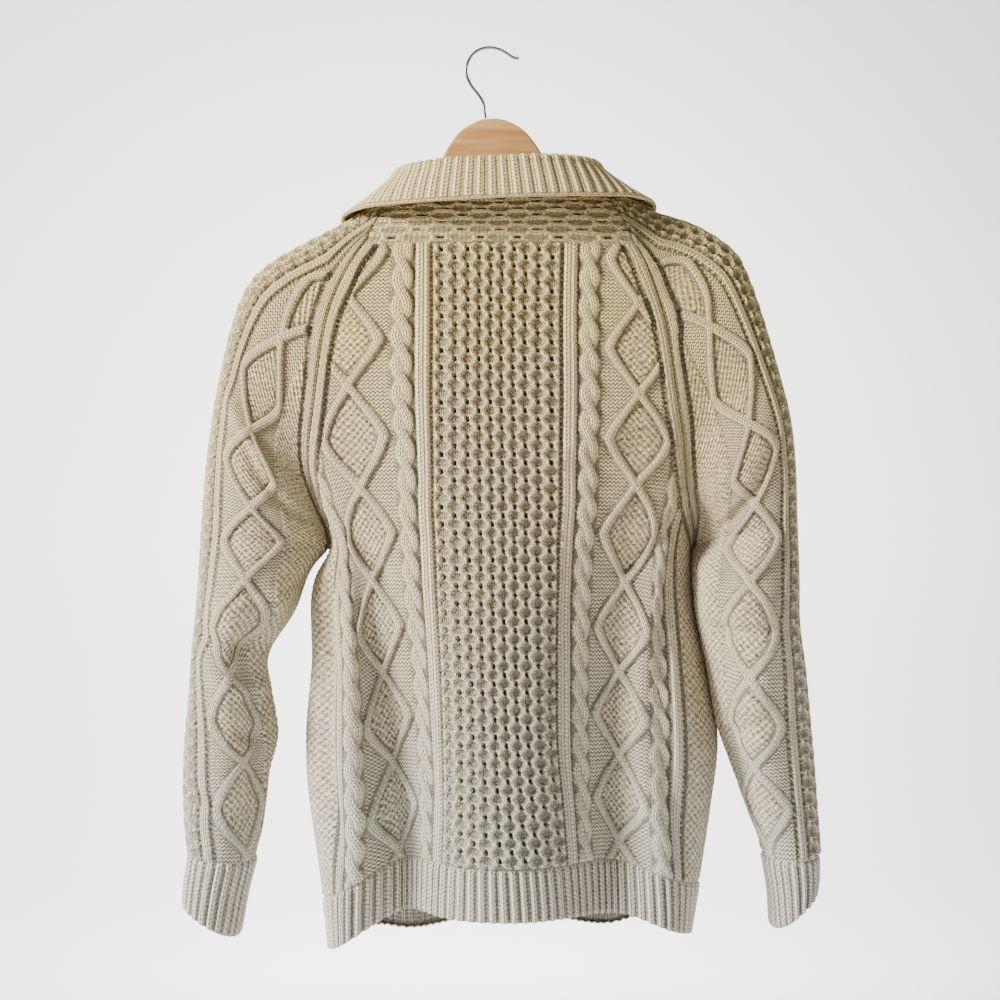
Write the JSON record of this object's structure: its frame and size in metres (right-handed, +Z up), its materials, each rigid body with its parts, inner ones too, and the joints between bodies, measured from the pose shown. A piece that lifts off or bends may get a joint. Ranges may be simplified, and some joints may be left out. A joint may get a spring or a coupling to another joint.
{
  "type": "aran cardigan on a wooden hanger",
  "caption": "Cream hand-knit aran cardigan with raglan sleeves and a ribbed fold-down collar, hanging open-hemmed on a wooden hanger with a steel hook.",
  "frame": {"origin": "inner crown of the hanger's wire hook, where a rail or peg carries the hanger", "axes": "+Z up, the fronts face -Y and the back faces +Y, the wearer's left side is +X"},
  "size_m": [0.5871, 0.193, 0.8372],
  "materials": {
    "wool_knit": "thick cream wool knitting, matte with a soft fuzz",
    "wool_rib": "ribbed cream wool knitting, matte",
    "button": "satin brown",
    "beech": "satin varnished",
    "steel": "bright drawn wire"
  },
  "bodies": {
    "root": {"back": "wool_knit", "left_front": "wool_knit", "right_front": "wool_knit", "left_sleeve": "wool_knit", "right_sleeve": "wool_knit", "back_neck_strip": "wool_knit", "back_hem_rib": "wool_rib", "left_front_hem_rib": "wool_rib", "right_front_hem_rib": "wool_rib", "left_front_band": "wool_rib", "right_front_band": "wool_rib", "left_cuff": "wool_rib", "right_cuff": "wool_rib", "collar": "wool_rib", "button_1": "button", "button_2": "button", "button_3": "button", "button_4": "button", "button_5": "button", "hanger_wood": "beech", "hanger_hook": "steel"}
  },
  "joints": []
}
